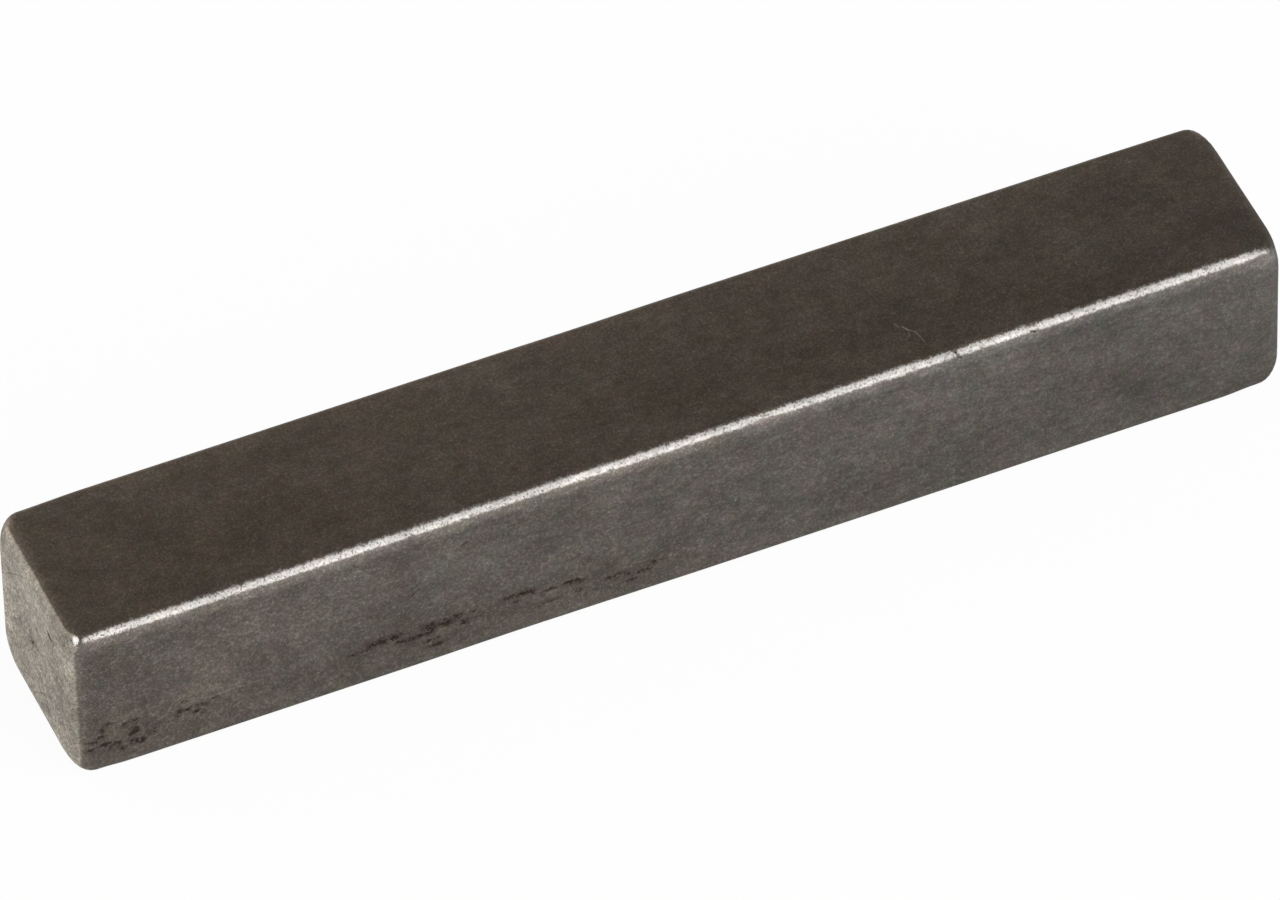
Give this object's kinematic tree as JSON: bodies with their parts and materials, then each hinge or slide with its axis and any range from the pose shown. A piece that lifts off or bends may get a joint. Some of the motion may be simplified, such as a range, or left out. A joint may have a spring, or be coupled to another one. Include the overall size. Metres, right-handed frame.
{
  "type": "parallel key",
  "caption": "Short square steel bar with rounded long edges and rounded ends, laid in a keyway to turn a hub with its shaft.",
  "frame": {"origin": "middle of the bottom face, which is where the middle of the key meets the floor of the shaft's keyway", "axes": "+X along the key, +Y across it from flank to flank, +Z from the shaft's keyway towards the hub"},
  "size_m": [0.04, 0.006, 0.006],
  "materials": {
    "steel": "drawn carbon steel, tumbled, brownish grey skin on the flanks, worn bright on the long edges, with fine scale pits"
  },
  "bodies": {
    "root": {"key": "steel"}
  },
  "joints": []
}
